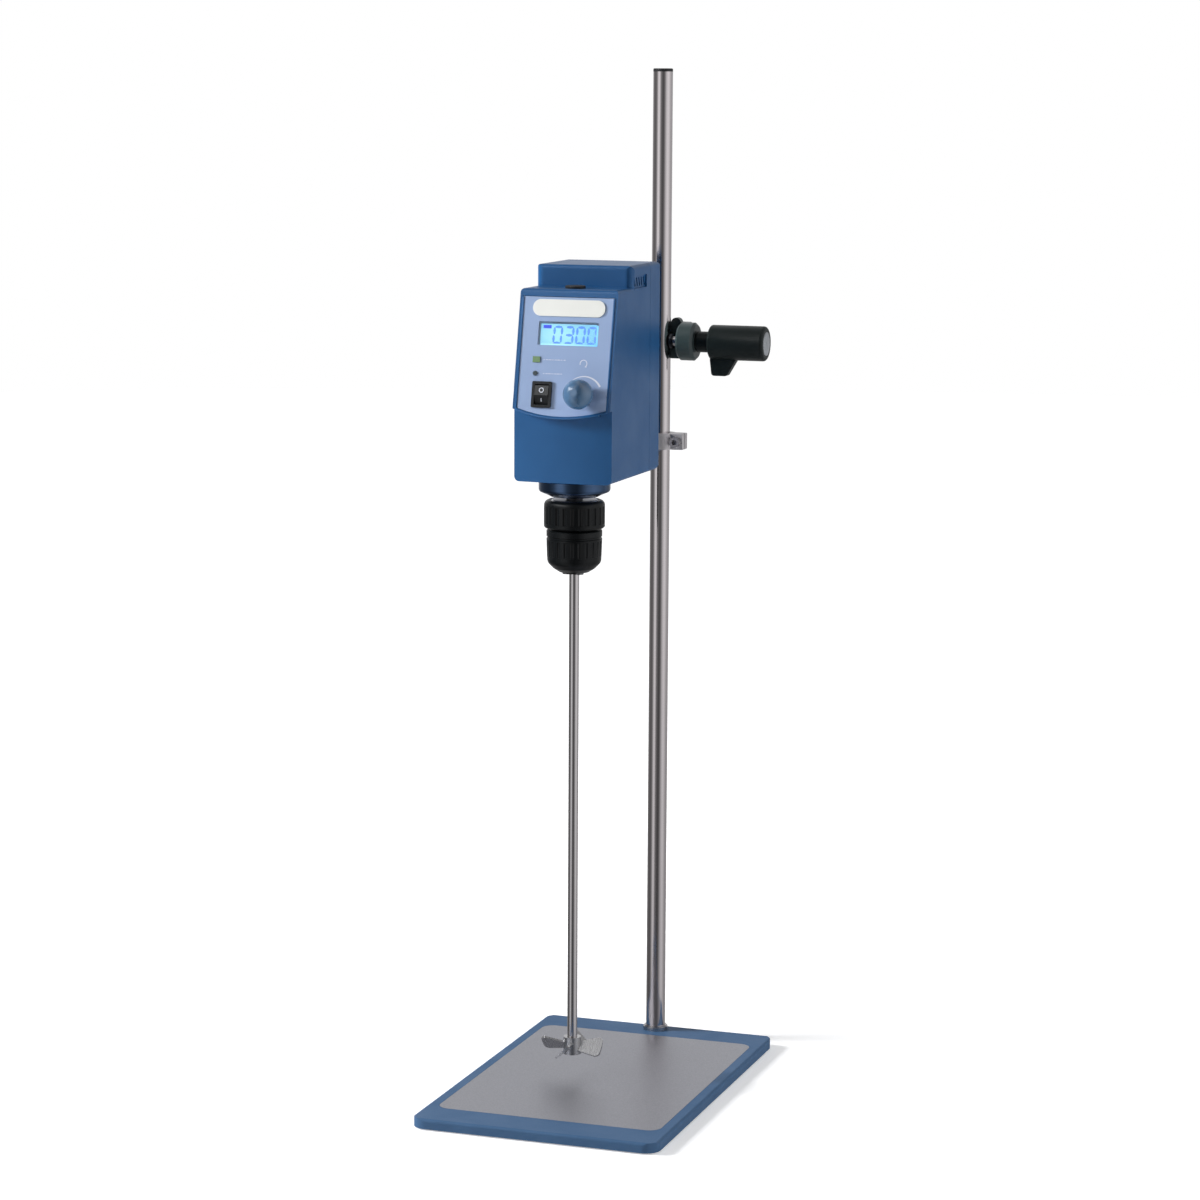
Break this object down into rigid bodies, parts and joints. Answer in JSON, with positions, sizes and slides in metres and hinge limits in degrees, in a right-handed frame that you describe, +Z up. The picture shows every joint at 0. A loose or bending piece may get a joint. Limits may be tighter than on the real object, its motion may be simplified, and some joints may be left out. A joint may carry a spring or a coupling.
{
  "type": "overhead stirrer",
  "caption": "Laboratory overhead stirrer: motor head with tilted control panel and keyless chuck, on a tall rod with a clamp and a flat plate stand.",
  "frame": {"origin": "bottom centre of the whole object, on the floor under the rubber feet", "axes": "+Z up along the rod, -Y to the front that the control panel faces, +X to the right seen from the front"},
  "size_m": [0.2, 0.326, 0.809],
  "materials": {
    "plate_paint": "fine textured coat",
    "sheet": "satin",
    "rubber": "matt",
    "rod_steel": "polished",
    "steel": "turned",
    "dark_steel": "blackened",
    "cap_black": "matt",
    "clamp_paint": "satin",
    "knob_black": "satin",
    "housing_blue": "satin",
    "fascia": "satin",
    "pill_white": "satin",
    "window": "clear",
    "module": "lit",
    "lamp": "clear lens",
    "board": "satin",
    "switch_black": "satin",
    "knob_blue": "satin",
    "inlet_black": "satin",
    "cast": "as cast",
    "pulley": "turned",
    "rotor": "laminated",
    "bearing_steel": "ground",
    "collar": "black anodised",
    "sleeve_black": "satin",
    "jaw_steel": "hardened",
    "shaft_steel": "polished",
    "blade_steel": "polished"
  },
  "bodies": {
    "stand": {"base_plate": "plate_paint", "base_sheet": "sheet", "rubber_feet": "rubber", "rod_ring": "steel", "rod_washer": "steel", "rod_nut": "dark_steel"},
    "rod": {"stand_rod": "rod_steel", "rod_cap": "cap_black"},
    "stop_ring": {"stop_ring": "steel"},
    "ring_screw": {"ring_screw": "steel"},
    "clamp": {"clamp_body": "clamp_paint"},
    "rod_pad": {"rod_pad": "dark_steel"},
    "rod_screw": {"rod_screw": "steel", "rod_knob": "knob_black"},
    "arm_pad": {"arm_pad": "dark_steel"},
    "arm_screw": {"arm_screw": "steel", "arm_knob": "knob_black"},
    "arm": {"mounting_arm": "steel"},
    "head": {"housing": "housing_blue", "rear_cover": "housing_blue", "cover_screws": "dark_steel", "chassis": "cast", "chassis_screws": "dark_steel", "control_panel": "fascia", "logo_plate": "pill_white", "display_window": "window", "display_module": "module", "status_lamps": "lamp", "control_board": "board", "board_pillars": "steel", "encoder_body": "dark_steel", "switch_frame": "switch_black", "power_board": "board", "power_inlet": "inlet_black", "motor_case": "dark_steel", "motor_screws": "steel", "drive_belt": "rubber", "upper_bearing": "bearing_steel", "lower_bearing": "bearing_steel", "spindle_seal": "rubber", "bearing_collar": "collar"},
    "encoder_shaft": {"encoder_shaft": "steel"},
    "speed_knob": {"speed_knob": "knob_blue"},
    "power_rocker": {"power_rocker": "switch_black"},
    "spindle_cap": {"spindle_cap": "cap_black"},
    "motor_rotor": {"motor_rotor": "rotor", "motor_pulley": "pulley"},
    "spindle": {"spindle": "dark_steel", "spindle_pulley": "pulley", "chuck_body": "steel", "chuck_rear_sleeve": "sleeve_black"},
    "chuck_sleeve": {"chuck_front_sleeve": "sleeve_black"},
    "jaw_1": {"chuck_jaw_1": "jaw_steel"},
    "jaw_2": {"chuck_jaw_2": "jaw_steel"},
    "jaw_3": {"chuck_jaw_3": "jaw_steel"},
    "shaft": {"stirring_shaft": "shaft_steel", "impeller": "blade_steel", "impeller_screw": "dark_steel"}
  },
  "joints": [
    {"name": "rod_swivel", "type": "hinge", "parent": "stand", "child": "rod", "pos_m": [0, 0.141, 0.4], "axis": [0, 0, 1], "continuous": true},
    {"name": "ring_height", "type": "slide", "parent": "stand", "child": "stop_ring", "axis": [0, 0, 1], "range_m": [-0.47, 0.045]},
    {"name": "ring_screw_turn", "type": "hinge", "parent": "stop_ring", "child": "ring_screw", "pos_m": [0.01575, 0.141, 0.507], "axis": [0, -1, 0], "range_deg": [0, 360]},
    {"name": "clamp_height", "type": "slide", "parent": "rod", "child": "clamp", "axis": [0, 0, 1], "range_m": [-0.008, 0.19]},
    {"name": "rod_pad_slide", "type": "slide", "parent": "clamp", "child": "rod_pad", "axis": [1, 0, 0], "range_m": [0, 0.003]},
    {"name": "rod_screw_turn", "type": "hinge", "parent": "rod_pad", "child": "rod_screw", "pos_m": [0.04, 0.141, 0.589], "axis": [1, 0, 0], "range_deg": [0, 720]},
    {"name": "arm_pad_slide", "type": "slide", "parent": "clamp", "child": "arm_pad", "axis": [-1, 0, 0], "range_m": [0, 0.003]},
    {"name": "arm_screw_turn", "type": "hinge", "parent": "arm_pad", "child": "arm_screw", "pos_m": [-0.05, 0.141, 0.589], "axis": [-1, 0, 0], "range_deg": [0, 720]},
    {"name": "arm_reach", "type": "slide", "parent": "clamp", "child": "arm", "axis": [0, 1, 0], "range_m": [-0.009, 0.044]},
    {"name": "head_tilt", "type": "hinge", "parent": "arm", "child": "head", "pos_m": [-0.019, 0.07, 0.589], "axis": [0, 1, 0], "range_deg": [-90, 90]},
    {"name": "knob_push", "type": "slide", "parent": "head", "child": "encoder_shaft", "axis": [0, 0.9799, -0.1994], "range_m": [0, 0.0008], "stiffness_N_per_m": 4000, "springref_m": -0.0004},
    {"name": "speed_turn", "type": "hinge", "parent": "encoder_shaft", "child": "speed_knob", "pos_m": [-0.0019, -0.05373, 0.56146], "axis": [0, -0.9799, 0.1994], "continuous": true},
    {"name": "power_switch", "type": "hinge", "parent": "head", "child": "power_rocker", "pos_m": [-0.0357, -0.04442, 0.55957], "axis": [1, 0, 0], "range_deg": [-18, 0]},
    {"name": "cap_lift", "type": "slide", "parent": "head", "child": "spindle_cap", "axis": [0, 0, 1], "range_m": [0, 0.02]},
    {"name": "spindle_turn", "type": "hinge", "parent": "head", "child": "spindle", "pos_m": [-0.019, -0.016, 0.48], "axis": [0, 0, 1], "continuous": true},
    {"name": "rotor_turn", "type": "hinge", "parent": "head", "child": "motor_rotor", "pos_m": [-0.019, 0.026, 0.56], "axis": [0, 0, 1], "continuous": true},
    {"name": "sleeve_turn", "type": "hinge", "parent": "spindle", "child": "chuck_sleeve", "pos_m": [-0.019, -0.016, 0.435], "axis": [0, 0, 1], "range_deg": [0, 360]},
    {"name": "shaft_depth", "type": "slide", "parent": "spindle", "child": "shaft", "axis": [0, 0, 1], "range_m": [-0.006, 0.14]},
    {"name": "jaw_1_slide", "type": "slide", "parent": "spindle", "child": "jaw_1", "axis": [0, 0.2588, 0.9659], "range_m": [0, 0.004]},
    {"name": "jaw_2_slide", "type": "slide", "parent": "spindle", "child": "jaw_2", "axis": [-0.2241, -0.1294, 0.9659], "range_m": [0, 0.004]},
    {"name": "jaw_3_slide", "type": "slide", "parent": "spindle", "child": "jaw_3", "axis": [0.2241, -0.1294, 0.9659], "range_m": [0, 0.004]}
  ],
  "couplings": [
    {"joint": "rotor_turn", "follows": "spindle_turn", "ratio": 2},
    {"joint": "rod_pad_slide", "follows": "rod_screw_turn", "m_per_rad": 0.00023873},
    {"joint": "arm_pad_slide", "follows": "arm_screw_turn", "m_per_rad": 0.00023873},
    {"joint": "jaw_1_slide", "follows": "sleeve_turn", "m_per_rad": 0.00063662},
    {"joint": "jaw_2_slide", "follows": "sleeve_turn", "m_per_rad": 0.00063662},
    {"joint": "jaw_3_slide", "follows": "sleeve_turn", "m_per_rad": 0.00063662}
  ]
}
